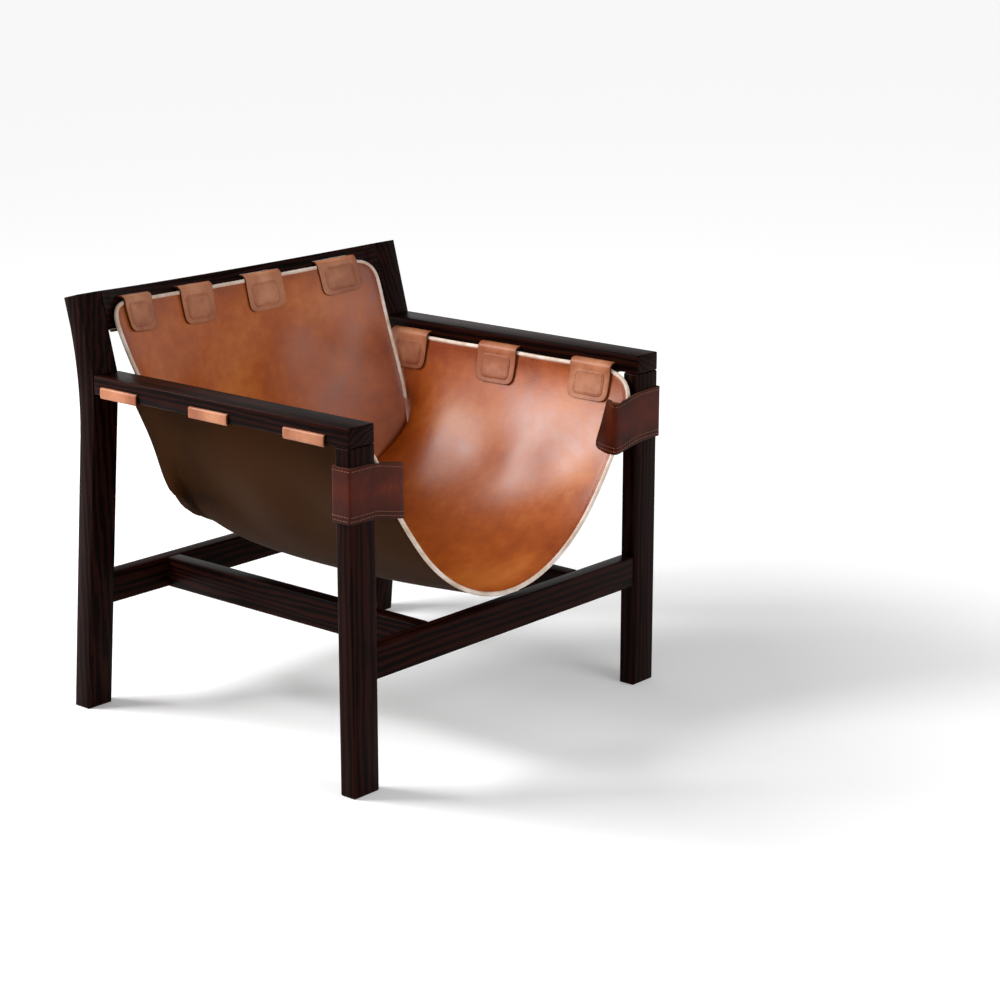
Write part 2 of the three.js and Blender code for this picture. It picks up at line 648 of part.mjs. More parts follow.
function tab(width, section, besideBar, besideHide, tailDrop) {
  const rows = [];
  const row = (half, spot) => {
    const points = [];
    for (let column = 0; column <= TAB_COLUMNS; column += 1) {
      points.push(spot(half * (2 * column / TAB_COLUMNS - 1)));
    }
    rows.push(points);
  };
  const half = width / 2;
  const corner = bend([half - TAB_CORNER, TAB_DROP - TAB_CORNER], [TAB_CORNER, TAB_CORNER], RIGHT_ANGLE, 0);
  const leaf = [...corner, [half, TAB_DROP / 2], [half, PIPING]];
  leaf.forEach(([span, drop]) => row(span, (along) => besideHide(along, drop, TAB_OFFSET)));
  section.forEach(([depth, height]) => row(half, (along) => besideBar(along, depth, height)));
  for (const drop of [tailDrop, tailDrop + TAB_TAIL]) {
    row(half, (along) => besideHide(along, drop, -TAB_OFFSET));
  }
  return sheetFromRows(rows, TAB_THICK);
}

function armTab(side, index) {
  const setback = armTabSetback(index);
  const slotToEdge = ARM_THICK - ARM_SLOT_DEPTH + SIDE_EDGE_DROP - PIPING_REACH;
  const slotToBottom = ARM_THICK - ARM_SLOT_DEPTH;
  const section = loopSection(ARM_WIDTH, slotToEdge, slotToBottom);
  const besideBar = (along, depth, height) => {
    return besideArm(side, setback + along, depth, height - ARM_SLOT_DEPTH);
  };
  const besideHide = (along, drop, offset) => {
    return besideSideFlap(side, setback + along, SIDE_EDGE - drop, offset);
  };
  return tab(ARM_TAB_WIDTH, section, besideBar, besideHide, PIPING);
}

function backTab(index) {
  const slotToEdge = BACK_EDGE_DROP - BACK_SLOT_DEPTH - PIPING_REACH;
  const slotToBottom = RAIL_HEIGHT - BACK_SLOT_DEPTH;
  const angle = (along) => backTabAngle(index, along);
  const section = loopSection(RAIL_THICK, slotToEdge, slotToBottom);
  const besideBar = (along, depth, height) => {
    return besideRail(angle(along), depth, height - BACK_SLOT_DEPTH);
  };
  const besideHide = (along, drop, offset) => {
    return besideBackFlap(RAIL_RADIUS * Math.sin(angle(along)), drop, offset);
  };
  return tab(BACK_TAB_WIDTH, section, besideBar, besideHide, RAIL_HEIGHT - BACK_EDGE_DROP + PIPING);
}

// Corner straps: from inside the hide, round its front edge and the leg, and back to the hide's outside.
// The bend at the hide's edge is upright, and touches the edge at the strap's lower corner.
function cornerStrap(side) {
  const clear = SEAM + STRAP_THICK / 2;
  const round = PIPING / 2 + LOOSE + STRAP_THICK / 2;
  const lowest = STRAP_TOP - STRAP_HEIGHT - STRAP_DROOP;
  const angle = halving(SIDE_START, RIGHT_ANGLE, (at) => frontEdge(at).z < lowest);
  const cord = frontEdge(angle);
  cord.y -= PIPING_REACH;
  const slope = surfaceNormal(trough, angle, SHARE_STEP, ANGLE_STEP, SHARE_STEP);
  const reach = round / Math.hypot(slope.x, slope.y);
  const roundCord = bend([cord.x, cord.y], [reach, round], Math.PI, Math.PI + RIGHT_ANGLE);
  const roundLeg = [
    [LEG_INNER, -clear],
    ...bend([HALF_WIDTH, 0], [clear, clear], -RIGHT_ANGLE, 0),
    ...bend([HALF_WIDTH, LEG_DEPTH], [clear, clear], 0, RIGHT_ANGLE),
    [LEG_INNER + EDGE_RADIUS, LEG_DEPTH + clear],
  ];
  const rows = [];
  for (let level = 0; level <= STRAP_ROWS; level += 1) {
    const height = STRAP_TOP - STRAP_HEIGHT * level / STRAP_ROWS;
    const hung = height - STRAP_DROOP;
    rows.push([
      besideSideFlap(side, STRAP_LAP, hung, STRAP_OFFSET),
      ...roundCord.map(([x, y]) => vec(side * x, y, hung)),
      ...roundLeg.map(([x, y]) => vec(side * x, y, height)),
      besideSideFlap(side, STRAP_MEET, hung, -STRAP_OFFSET),
      besideSideFlap(side, STRAP_TAIL, hung, -STRAP_OFFSET),
    ]);
  }
  return sheetFromRows(rows, STRAP_THICK);
}

// The chair
for (const [name, side] of [['right', -1], ['left', 1]]) {
  place(`front_leg_${name}`, frontLeg(side), wood);
  place(`back_post_${name}`, backPost(side), wood);
  place(`arm_${name}`, arm(side), wood);
  place(`side_stretcher_${name}`, sideStretcher(side), wood);
  place(`corner_strap_${name}`, cornerStrap(side), strapLeather);
  for (let index = 0; index < ARM_TAB_COUNT; index += 1) {
    place(`arm_tab_${name}_${index + 1}`, armTab(side, index), tabLeather);
  }
}
place('front_stretcher', crossStretcher(LEG_INNER, FRONT_STRETCHER_MIDDLE), wood);
place('back_stretcher', crossStretcher(POST_INNER, BACK_STRETCHER_MIDDLE), wood);
place('back_rail', backRail(), wood);
for (let index = 0; index < BACK_TAB_COUNT; index += 1) {
  place(`back_tab_${index + 1}`, backTab(index), tabLeather);
}
const sling = makeSling();
place('sling', sling.geometry, hide);
place('seat_piping', piping(sling, seatRun(sling)), pipingLeather);
place('back_piping', piping(sling, backRun(sling)), pipingLeather);

// The origin is the middle of the chair's box, on the floor
const box = new THREE.Box3().setFromObject(chair);
const middle = box.getCenter(new THREE.Vector3());
chair.position.set(-middle.x, -middle.y, -box.min.z);

export default chair;
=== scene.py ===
# %% [markdown]
# # A leather sling lounge chair
# One hide hangs by looped tabs in a dark wooden frame. The timber is already right in the packed
# model, so it only gets its finish here. The leather is made again: each thin solid gives up the
# face that shows, and that face is smoothed, settled, thickened and sewn.

import math

import bmesh
import bpy
import numpy as np
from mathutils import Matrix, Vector, noise
from mathutils.bvhtree import BVHTree
from mathutils.kdtree import KDTree


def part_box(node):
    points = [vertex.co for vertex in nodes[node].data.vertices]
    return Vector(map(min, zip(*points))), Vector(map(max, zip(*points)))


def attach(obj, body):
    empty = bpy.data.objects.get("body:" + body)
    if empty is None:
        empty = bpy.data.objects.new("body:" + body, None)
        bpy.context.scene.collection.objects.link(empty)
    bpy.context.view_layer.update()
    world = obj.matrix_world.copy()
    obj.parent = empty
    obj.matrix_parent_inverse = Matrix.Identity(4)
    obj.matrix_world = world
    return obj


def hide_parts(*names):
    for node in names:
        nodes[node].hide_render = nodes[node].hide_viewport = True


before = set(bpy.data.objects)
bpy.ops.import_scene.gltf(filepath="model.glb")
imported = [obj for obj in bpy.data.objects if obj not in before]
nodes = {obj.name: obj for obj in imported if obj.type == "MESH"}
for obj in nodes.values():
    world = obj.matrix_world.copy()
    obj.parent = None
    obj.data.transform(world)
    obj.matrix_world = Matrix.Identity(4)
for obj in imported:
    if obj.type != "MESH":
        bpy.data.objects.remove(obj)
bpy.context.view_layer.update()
MM = 0.001

# %% [markdown]
# ## Camera
# The picture was taken from a little above the arms, in front of the chair's right side, with a
# long lens. The place was found by fitting the legs, arms and rail of the frame to the picture.
# A short lens from nearer would fit the outline too, but not how the far legs shrink.

# %% Camera
CAMERA_PLACE = Vector((-2.733, -2.645, 1.342))
CAMERA_YAW = math.radians(49.36)
CAMERA_PITCH = math.radians(15.03)
LENS = 87.76
SENSOR = 36.0

camera = bpy.data.objects.new("camera", bpy.data.cameras.new("camera"))
bpy.context.scene.collection.objects.link(camera)
camera.data.lens = LENS
camera.data.sensor_width = SENSOR
camera.location = CAMERA_PLACE
ahead = math.cos(CAMERA_PITCH)
looking = Vector((math.sin(CAMERA_YAW) * ahead, math.cos(CAMERA_YAW) * ahead,
                  -math.sin(CAMERA_PITCH)))
camera.rotation_euler = looking.to_track_quat("-Z", "Y").to_euler()
bpy.context.scene.camera = camera
bpy.context.scene.view_settings.view_transform = "Standard"
print("camera:", LENS, "mm lens,", round(CAMERA_PLACE.length, 2), "m from the chair")

# %% [markdown]
# ## Colours and nodes
# Colours are written the way a paint program shows them, and one function turns them into the
# linear numbers that light works with. Another adds one node: its options, and what goes into its
# sockets, which is either a value or another node's output.

# %% Colours and nodes
def linear(colour):
    """An sRGB hex colour as linear red, green, blue and alpha."""
    shares = [int(colour[at:at + 2], 16) / 255 for at in (1, 3, 5)]
    return [s / 12.92 if s <= 0.04045 else ((s + 0.055) / 1.055) ** 2.4 for s in shares] + [1.0]


def add(tree, kind, sockets=None, stops=None, **options):
    """Adds one node. Sockets take a value or a node's output, and stops fill a colour ramp."""
    node = tree.nodes.new(kind)
    for option, value in options.items():
        setattr(node, option, value)
    for socket, value in (sockets or {}).items():
        if isinstance(value, bpy.types.NodeSocket):
            tree.links.new(value, node.inputs[socket])
        else:
            node.inputs[socket].default_value = value
    for number, (place, colour) in enumerate(stops or []):
        elements = node.color_ramp.elements
        element = elements[number] if number < len(elements) else elements.new(place)
        element.position = place
        element.color = linear(colour)
    return node


def start_material(name):
    """A new material with no nodes in it, and its tree."""
    material = bpy.data.materials.new(name)
    material.use_nodes = True
    material.node_tree.nodes.clear()
    return material, material.node_tree


def end_material(tree, shader):
    """Links a finished shader to the material's output."""
    add(tree, "ShaderNodeOutputMaterial", {"Surface": shader.outputs[0]})


print("black and white:", linear("#000000")[0], linear("#ffffff")[0])

# %% [markdown]
# ## Floor
# The chair stands on a white floor with nothing behind it, and the floor catches the soft shadow
# under the seat. A lamp bright enough to burn the floor to white would also wash out the leather.
# So the paint glows a little where the floor is seen, and more further out.

# %% Floor
FLOOR_SIZE = 60.0
NEAR_GLOW = 0.2
FAR_GLOW = 0.64
SHADOW_REACH = 0.7
WHITE_FROM = 1.8

floor_mesh = bpy.data.meshes.new("studio_floor")
half_floor = FLOOR_SIZE / 2
corners = [(-half_floor, -half_floor, 0), (half_floor, -half_floor, 0)]
corners += [(half_floor, half_floor, 0), (-half_floor, half_floor, 0)]
floor_mesh.from_pydata(corners, [], [(0, 1, 2, 3)])
floor = bpy.data.objects.new("studio_floor", floor_mesh)
bpy.context.scene.collection.objects.link(floor)

# White painted studio floor: matt, so it takes the shadow and gives no reflection.
floor_paint, tree = start_material("white_studio_paint")
rays = add(tree, "ShaderNodeLightPath").outputs
seen = add(tree, "ShaderNodeMath", {0: rays["Is Camera Ray"], 1: rays["Is Glossy Ray"]},
           operation="MAXIMUM")
seen = add(tree, "ShaderNodeMath", {0: seen.outputs[0], 1: rays["Is Transmission Ray"]},
           operation="MAXIMUM")
place = add(tree, "ShaderNodeTexCoord").outputs["Object"]
away = add(tree, "ShaderNodeVectorMath", {0: place}, operation="LENGTH")
level = add(tree, "ShaderNodeMapRange",
            {"Value": away.outputs["Value"], "From Min": SHADOW_REACH, "From Max": WHITE_FROM,
             "To Min": NEAR_GLOW, "To Max": FAR_GLOW})
glow = add(tree, "ShaderNodeMath", {0: seen.outputs[0], 1: level.outputs[0]}, operation="MULTIPLY")
paint = add(tree, "ShaderNodeBsdfDiffuse", {"Color": linear("#f4f4f4")})
light = add(tree, "ShaderNodeEmission", {"Strength": glow.outputs[0]})
end_material(tree, add(tree, "ShaderNodeAddShader", {0: paint.outputs[0], 1: light.outputs[0]}))
floor_mesh.materials.append(floor_paint)
print("floor:", FLOOR_SIZE, "m of white paint")

# %% [markdown]
# ## Walls and lamps
# Polished leather mirrors the room. White all round would make it pale and flat, so the walls are
# white, the ceiling is grey, and the leather keeps its colour and shines only where a lamp is.
# Bare bulbs would throw hard shadows. Two large square lamps throw soft ones.

# %% Walls and lamps
WALL, CEILING = 1.0, 0.25
# How far a look is raised where the wall ends and where the ceiling starts: 0 is level, 1 is up.
WALL_TOP, CEILING_FROM = 0.1, 0.5

world = bpy.data.worlds.new("white_walls_grey_ceiling")
bpy.context.scene.world = world
world.use_nodes = True
tree = world.node_tree
tree.nodes.clear()
look = add(tree, "ShaderNodeTexCoord").outputs["Generated"]
raised = add(tree, "ShaderNodeSeparateXYZ", {0: look}).outputs["Z"]
strength = add(tree, "ShaderNodeMapRange",
               {"Value": raised, "From Min": WALL_TOP, "From Max": CEILING_FROM,
                "To Min": WALL, "To Max": CEILING})
white = add(tree, "ShaderNodeBackground",
            {"Color": linear("#ffffff"), "Strength": strength.outputs[0]})
add(tree, "ShaderNodeOutputWorld", {"Surface": white.outputs[0]})


def softbox(name, place, target, size, watts):
    """A square lamp that looks at a point and isn't seen itself."""
    lamp = bpy.data.lights.new(name, "AREA")
    lamp.size = size
    lamp.energy = watts
    made = bpy.data.objects.new(name, lamp)
    made.location = place
    made.rotation_euler = (Vector(target) - Vector(place)).to_track_quat("-Z", "Y").to_euler()
    made.visible_camera = False
    bpy.context.scene.collection.objects.link(made)


# The main light is behind the chair's right arm. The hide's left side mirrors it in soft bands.
softbox("window_softbox", place=(-1.41, 1.51, 1.83), target=(0.1, 0, 0.4), size=1.1, watts=80)
softbox("front_softbox", place=(0.2, -3.0, 2.0), target=(0, 0, 0.4), size=1.6, watts=28)
print("studio: white walls, grey ceiling and", len(bpy.data.lights), "softboxes")

# %% [markdown]
# ## Rosewood
# The frame is a dark tropical hardwood, planed and oiled until it shines: nearly black streaks in
# red-brown, with growth rings that run through the whole piece, so an arm's end shows rings and
# its sides show long lines. A picture wrapped round each piece would break at the edges. Rings
# drawn in space, stretched along the grain, go through the piece as they do in a plank.

# %% Rosewood
# A wave texture of scale 1 repeats every 2 pi / 20 metres.
WAVE_PERIOD = 2 * math.pi / 20
STREAK_SPACING = 9 * MM
FIBRE_WIDTH = 1.6 * MM
PORE_WIDTH = 2.4 * MM
CLOUD_WIDTH = 60 * MM
# Along the grain the rings and the fibres are drawn out to many times their width.
RING_STRETCH = 0.07
FIBRE_STRETCH = 0.025
RING_CENTRE = (0.09, 0.05, 0.11)
RING_PART, FIBRE_PART, CLOUD_PART = 0.55, 0.45, 0.5


def rosewood(name, grain):
    """Oiled rosewood. Streaks are drawn wider than real ones, which would be too fine to see."""
    material, tree = start_material(name)
    place = add(tree, "ShaderNodeTexCoord").outputs["Object"]
    along = "XYZ".index(grain)
    drawn = [RING_STRETCH if axis == along else 1.0 for axis in range(3)]
    fine = [FIBRE_STRETCH if axis == along else 1.0 for axis in range(3)]
    plank = add(tree, "ShaderNodeMapping",
                {"Vector": place, "Scale": drawn, "Location": RING_CENTRE})
    fibre = add(tree, "ShaderNodeMapping", {"Vector": place, "Scale": fine})
    rings = add(tree, "ShaderNodeTexWave",
                {"Vector": plank.outputs[0], "Scale": WAVE_PERIOD / STREAK_SPACING,
                 "Distortion": 7.0, "Detail": 3.0, "Detail Scale": 1.4, "Detail Roughness": 0.6},
                wave_type="RINGS", rings_direction=grain)
    threads = add(tree, "ShaderNodeTexNoise",
                  {"Vector": fibre.outputs[0], "Scale": 1 / FIBRE_WIDTH, "Detail": 3.0,
                   "Roughness": 0.6})
    cloud = add(tree, "ShaderNodeTexNoise",
                {"Vector": plank.outputs[0], "Scale": 1 / CLOUD_WIDTH, "Detail": 2.0})
    pores = add(tree, "ShaderNodeTexVoronoi",
                {"Vector": fibre.outputs[0], "Scale": 1 / PORE_WIDTH}, feature="F1")
    ripple = add(tree, "ShaderNodeMath", {0: rings.outputs["Fac"], 1: RING_PART},
                 operation="MULTIPLY")
    figure = add(tree, "ShaderNodeMath",
                 {0: threads.outputs["Fac"], 1: FIBRE_PART, 2: ripple.outputs[0]},
                 operation="MULTIPLY_ADD")
    shaded = add(tree, "ShaderNodeMath",
                 {0: cloud.outputs["Fac"], 1: CLOUD_PART, 2: figure.outputs[0]},
                 operation="MULTIPLY_ADD")
    colour = add(tree, "ShaderNodeValToRGB", {"Fac": shaded.outputs[0]},
                 stops=[(0.3, "#040101"), (0.95, "#240c07"), (0.62, "#0d0403")])
    dullness = add(tree, "ShaderNodeMapRange",
                   {"Value": threads.outputs["Fac"], "To Min": 0.3, "To Max": 0.45})
    hollow = add(tree, "ShaderNodeMapRange",
                 {"Value": pores.outputs["Distance"], "From Max": 0.35})
    height = add(tree, "ShaderNodeMath", {0: hollow.outputs[0], 1: threads.outputs["Fac"]},
                 operation="MULTIPLY")
    bump = add(tree, "ShaderNodeBump",
               {"Height": height.outputs[0], "Strength": 0.12, "Distance": 0.3 * MM})
    shader = add(tree, "ShaderNodeBsdfPrincipled",
                 {"Base Color": colour.outputs[0], "Roughness": dullness.outputs[0],
                  "Normal": bump.outputs[0], "IOR": 1.45, "Specular IOR Level": 0.035})
    end_material(tree, shader)
    return material


GRAIN = {"X": ["front_stretcher", "back_stretcher", "back_rail"],
         "Y": ["arm_right", "arm_left", "side_stretcher_right", "side_stretcher_left"],
         "Z": ["front_leg_right", "front_leg_left", "back_post_right", "back_post_left"]}
for grain, pieces in GRAIN.items():
    wood = rosewood("oiled_rosewood_grain_" + grain.lower(), grain)
    for piece in pieces:
        nodes[piece].material_slots[0].material = wood
print("rosewood on", sum(len(pieces) for pieces in GRAIN.values()), "pieces")

# %% [markdown]
# ## Worked edges of the timber
# A planed edge that was eased by hand has no facets, and the bow of the back rail is one even
# curve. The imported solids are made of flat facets. A short tree of geometry nodes joins their
# corners and smooths the shading across every edge but the sharp ones, and leaves the solids
# themselves alone.

# %% Worked edges of the timber
SHARP_EDGE = math.radians(40)
JOINED = 0.01 * MM

eased = bpy.data.node_groups.new("eased_edges", "GeometryNodeTree")
for way in ("INPUT", "OUTPUT"):
    eased.interface.new_socket("Geometry", in_out=way, socket_type="NodeSocketGeometry")
taken = add(eased, "NodeGroupInput")
bare = add(eased, "GeometryNodeRemoveAttribute",
           {"Geometry": taken.outputs[0], "Name": "custom_normal"})
whole = add(eased, "GeometryNodeMergeByDistance", {"Geometry": bare.outputs[0], "Distance": JOINED})
smooth = add(eased, "GeometryNodeSetShadeSmooth",
             {"Geometry": whole.outputs[0], "Shade Smooth": True}, domain="FACE")
angle = add(eased, "GeometryNodeInputMeshEdgeAngle")
gentle = add(eased, "FunctionNodeCompare", {0: angle.outputs[0], 1: SHARP_EDGE},
             data_type="FLOAT", operation="LESS_THAN")
edges = add(eased, "GeometryNodeSetShadeSmooth",
            {"Geometry": smooth.outputs[0], "Shade Smooth": gentle.outputs[0]}, domain="EDGE")
add(eased, "NodeGroupOutput", {0: edges.outputs[0]})
for pieces in GRAIN.values():
    for piece in pieces:
        nodes[piece].modifiers.new("eased_edges", "NODES").node_group = eased
print("eased the shading of the timber")

# %% [markdown]
# ## One face of a leather solid
# Every leather piece in the model is a thin solid with two faces and a rim, made of two triangles
# to each four-sided patch. Modelling the hide again by hand would drift from the frame, so one
# face is lifted off instead. It starts at the largest or the outermost triangle that looks the
# right way, and spreads until the rim stops it: only the rim's triangles have an edge as long as
# the leather is thick.

# %% One face of a leather solid
HIDE_THICK = 4 * MM
TAB_THICK = 3 * MM
STRAP_THICK = 3.5 * MM
FACING = 0.7
EXACT = 0.0005 * MM


def on_rim(face, thick):
    """Whether a triangle lies on the rim of leather so thick."""
    return any(abs(edge.calc_length() - thick) < EXACT for edge in face.edges)


def largest(face, towards):
    """Ranks a triangle by the area that it shows to that side."""
    return face.calc_area() * face.normal.dot(towards)


def outermost(face, towards):
    """Ranks a triangle by how far it lies to that side."""
    return face.calc_center_median().dot(towards)


def lifted_triangles(node, thick, towards, choice):
    """The solid, the first triangle of the face that looks towards that side, and all of them."""
    shape = bmesh.new()
    shape.from_mesh(nodes[node].data)
    bmesh.ops.remove_doubles(shape, verts=shape.verts, dist=JOINED)
    shape.normal_update()
    facing = [face for face in shape.faces
              if face.normal.dot(towards) > FACING and not on_rim(face, thick)]
    first = max(facing, key=lambda face: choice(face, towards))
    found = {first}
    waiting = [first]
    while waiting:
        face = waiting.pop()
        for other in {near for edge in face.edges for near in edge.link_faces} - found:
            if not on_rim(other, thick):
                found.add(other)
                waiting.append(other)
    return shape, first, found


shape, first, triangles = lifted_triangles("sling", HIDE_THICK, Vector((0, 0, 1)), largest)
print("hide: one face of", len(triangles), "triangles")
shape.free()

# %% [markdown]
# ## Rows of points
# The hide's solid was made in rows, from the front edge to the back, and the seams, the piping and
# the flat size are measured along them. Blender can join triangles to quads by itself, but on a
# curved part it may choose the wrong diagonal. Here all diagonals lean the same way as the first,
# which is how the solid was made, and the patches are then walked row by row from one corner.

# %% Rows of points
def paired(first, triangles):
    """Pairs triangles into patches. The diagonals of neighbours all lean the same way."""
    diagonal = {first: max(first.edges, key=lambda edge: edge.calc_length())}
    waiting = [first]
    while waiting:
        face = waiting.pop()
        split = diagonal[face]
        tip = next(vert for vert in face.verts if vert not in split.verts[:])
        for edge in face.edges:
            for other in edge.link_faces:
                if other not in triangles or other in diagonal:
                    continue
                leaning = [side for side in other.edges if side != edge and tip in side.verts[:]]
                diagonal[other] = split if edge == split else leaning[0]
                waiting.append(other)
    patches = {}
    for face, split in diagonal.items():
        tip = next(vert for vert in face.verts if vert not in split.verts[:])
        loop = face.verts[:]
        start = loop.index(tip)
        patches.setdefault(split, []).append([loop[start], loop[start - 2], loop[start - 1]])
    return [[a[0], a[1], b[0], a[2]] for a, b in patches.values()]


def rows_of(patches, start, along):
    """Rows of points, from the corner that lies furthest towards start. Each runs the way along."""
    of_edge = {}
    of_vert = {}
    for patch in patches:
        for number, vert in enumerate(patch):
            of_edge.setdefault(frozenset((vert, patch[number - 1])), []).append(patch)
            of_vert.setdefault(vert, []).append(patch)
    rim = {}
    for edge, owners in of_edge.items():
        if len(owners) == 1:
            near, far = edge
            rim.setdefault(near, []).append(far)
            rim.setdefault(far, []).append(near)
    corner = max((v for v in of_vert if len(of_vert[v]) == 1), key=lambda v: v.co.dot(start))
    row = [corner, max(rim[corner], key=lambda v: (v.co - corner.co).normalized().dot(along))]
    while len(of_vert[row[-1]]) > 1:
        row.append(next(v for v in rim[row[-1]] if v != row[-2]))
    rows = []
    used = set()
    while row:
        rows.append([vert.co.copy() for vert in row])
        following = {}
        for near, far in zip(row, row[1:]):
            for patch in of_edge[frozenset((near, far))]:
                if id(patch) in used:
                    continue
                used.add(id(patch))
                for vert, other in ((near, far), (far, near)):
                    at = patch.index(vert)
                    sides = (patch[at - 1], patch[(at + 1) % 4])
                    following[vert] = next(v for v in sides if v != other)
        row = [following[vert] for vert in row if vert in following]
    return rows


def lift(node, thick, choice, towards, start, along):
    """One face of a leather solid as rows of points."""
    shape, first, triangles = lifted_triangles(node, thick, Vector(towards), choice)
    rows = rows_of(paired(first, triangles), Vector(start), Vector(along))
    shape.free()
    return rows


hide_rows = lift("sling", HIDE_THICK, largest, (0, 0, 1), (-1, -3, 0), (1, 0, 0))
# The wide rows are the seat and the sides. The rows after them are the narrower back flap.
TROUGH_END = sum(len(row) == len(hide_rows[0]) for row in hide_rows) - 1
print("hide:", len(hide_rows), "rows of", len(hide_rows[0]), "and", len(hide_rows[-1]), "points,",
      "the wide ones up to", TROUGH_END)

# %% [markdown]
# ## A fine sheet
# Leather has no facets. The rows become patches, and subdivision rounds them, which is what a
# sheet does when it hangs: it takes the smoothest way between the places that hold it. A surface
# through the points would have to be cut at the slits, and patches already stop there.

# %% A fine sheet
SMOOTHING = 2


def make_sheet(name, rows):
    """A fine sheet from rows of points. A shorter row joins the middle of the one before it."""
    faces = []
    first = 0
    for near, far in zip(rows, rows[1:]):
        start = first + (len(near) - len(far)) // 2
        follow = first + len(near)
        for column in range(len(far) - 1):
            faces.append((start + column, start + column + 1,
                          follow + column + 1, follow + column))
        first = follow
    rough = bpy.data.meshes.new(name)
    rough.from_pydata([point for row in rows for point in row], [], faces)
    made = bpy.data.objects.new(name, rough)
    bpy.context.scene.collection.objects.link(made)
    rounding = made.modifiers.new("rounding", "SUBSURF")
    rounding.levels = SMOOTHING
    rounding.render_levels = SMOOTHING
    rounded = made.evaluated_get(bpy.context.evaluated_depsgraph_get())
    fine = bpy.data.meshes.new_from_object(rounded)
    made.modifiers.clear()
    made.data = fine
    fine.shade_smooth()
    return made


hide = make_sheet("sling_hide", hide_rows)
print("hide:", len(hide.data.polygons), "patches after rounding")

# %% [markdown]
# ## The edge of a sheet
# Leather darkens where it was cut, sewn and handled, and piping and seams follow its edge. Both
# need to know where the edge is. A painted mask would have to be made again for every piece, so
# the edge is walked point by point, and each point of the sheet keeps its distance from it.

# %% The edge of a sheet
def rim_points(mesh):
    """The edge as one round of places, with the way into the sheet and the normal at each."""
    shape = bmesh.new()
    shape.from_mesh(mesh)
    shape.normal_update()
    first = next(vert for vert in shape.verts if vert.is_boundary)
    walk = [first]
    while True:
        near = [edge.other_vert(walk[-1]) for edge in walk[-1].link_edges if edge.is_boundary]
        step = [vert for vert in near if vert not in walk[-2:]]
        if len(walk) > 2 and first in near:
            break
        walk.append(step[0])
    found = []
    for number, vert in enumerate(walk):
        tangent = (walk[(number + 1) % len(walk)].co - walk[number - 1].co).normalized()
        inside = sum((edge.other_vert(vert).co - vert.co for edge in vert.link_edges), Vector())
        inside -= tangent * inside.dot(tangent)
        inside -= vert.normal * inside.dot(vert.normal)
        found.append((vert.co.copy(), inside.normalized(), vert.normal.copy()))
    shape.free()
    return found


def mark_edge(mesh):
    """Writes each point's distance from the sheet's edge, in metres, as the attribute edge."""
    rim = rim_points(mesh)
    tree = KDTree(len(rim))
    for number, (place, _, _) in enumerate(rim):
        tree.insert(place, number)
    tree.balance()
    distance = [tree.find(vert.co)[2] for vert in mesh.vertices]
    mesh.attributes.new("edge", "FLOAT", "POINT").data.foreach_set("value", distance)


print("hide: edge of", len(rim_points(hide.data)), "points")

# %% [markdown]
# ## How the hide has settled
# A hide that hangs from a few tabs is pulled flat at each tab and bellies in between them, which
# draws soft upright bands of light down the sides. Its top edge sags a little from tab to tab.
# Cloth simulation would sag this way, but thick leather keeps its shape, so it is written as a
# formula: one wave whose crests are at the tabs, fading out towards the seat.

# %% How the hide has settled
BELLY = 4.5 * MM
BACK_BELLY = 2.5 * MM
EDGE_SAG = 1 * MM
SAG_DEPTH = 70 * MM
UNEVEN = 0.8 * MM
UNEVEN_WIDTH = 70 * MM
SIDE_FROM, SIDE_TO = 0.13, 0.26
BACK_LEAD = 40 * MM
BACK_BLEND = 60 * MM


def middle_of(node):
    """The middle of a node's box."""
    low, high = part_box(node)
    return (low + high) / 2


arm_tab_places = [middle_of("arm_tab_left_%d" % number).y for number in (1, 2, 3)]
back_tab_places = [middle_of("back_tab_%d" % number).x for number in (1, 2, 3, 4)]
TAB_PITCH = (arm_tab_places[-1] - arm_tab_places[0]) / 2
BACK_TAB_PITCH = (back_tab_places[-1] - back_tab_places[0]) / 3
EDGE_HEIGHT = hide_rows[0][0].z
SEAT_HEIGHT = hide_rows[0][len(hide_rows[0]) // 2].z
TAB_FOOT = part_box("arm_tab_left_2")[0].z
BACK_TAB_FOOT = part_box("back_tab_2")[0].z
BACK_FROM = hide_rows[TROUGH_END][len(hide_rows[TROUGH_END]) // 2].y - BACK_LEAD


def share_of(value, low, high):
    """How far a value has come from low to high, as 0 to 1."""
    return min(max((value - low) / (high - low), 0.0), 1.0)


def ease(value, low, high):
    """Rises smoothly from 0 at low to 1 at high."""
    share = share_of(value, low, high)
    return share * share * (3 - 2 * share)


def bulge(value, low, high):
    """Swells smoothly from 0 at low to 1 half-way and back to 0 at high."""
    return math.sin(math.pi * share_of(value, low, high)) ** 2


def settle(place, normal):
    """Where a point of the hide comes to rest."""
    beside = ease(abs(place.x), SIDE_FROM, SIDE_TO)
    behind = ease(place.y, BACK_FROM, BACK_FROM + BACK_BLEND)
    wave = math.cos(2 * math.pi * (place.y - arm_tab_places[0]) / TAB_PITCH)
    back_wave = math.cos(2 * math.pi * (place.x - back_tab_places[0]) / BACK_TAB_PITCH)
    on_side = bulge(place.z, SEAT_HEIGHT, TAB_FOOT)
    on_back = bulge(place.z, EDGE_HEIGHT - SAG_DEPTH, BACK_TAB_FOOT)
    push = -BELLY * wave * beside * (1 - behind) * on_side
    push -= BACK_BELLY * back_wave * behind * on_back
    push += UNEVEN * noise.noise(place / UNEVEN_WIDTH) * on_side
    between = arm_tab_places[0] < place.y < arm_tab_places[-1]
    near_edge = beside * (1 - behind) * ease(place.z, EDGE_HEIGHT - SAG_DEPTH, EDGE_HEIGHT)
    sag = EDGE_SAG * near_edge * (1 - wave) / 2 if between else 0.0
    return place + normal * push - Vector((0, 0, sag))


